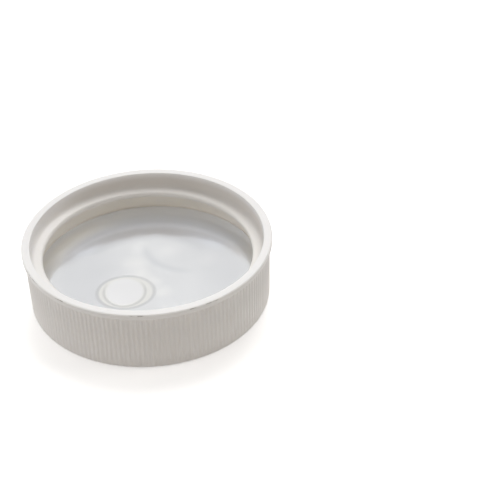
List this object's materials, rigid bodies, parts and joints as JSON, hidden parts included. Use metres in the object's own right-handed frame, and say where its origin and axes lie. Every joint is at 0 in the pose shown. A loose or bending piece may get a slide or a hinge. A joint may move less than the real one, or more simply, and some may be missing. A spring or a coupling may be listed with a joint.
{
  "type": "induction-lined screw cap",
  "caption": "White ribbed plastic screw cap lying mouth up, with a plain rim bead, an inner screw thread and a foil-faced induction liner on a backing board.",
  "frame": {"origin": "centre of the panel's outer face, which the cap rests on with its mouth up", "axes": "+Z along the cap's axis, out of the mouth; the thread ridge starts and ends on the -Y side"},
  "size_m": [0.0404, 0.0404, 0.0112],
  "materials": {
    "shell_plastic": "satin",
    "liner_board": "matte",
    "liner_foil": "satin"
  },
  "bodies": {
    "root": {"cap_shell": "shell_plastic", "backing_board": "liner_board", "foil_seal": "liner_foil"}
  },
  "joints": []
}
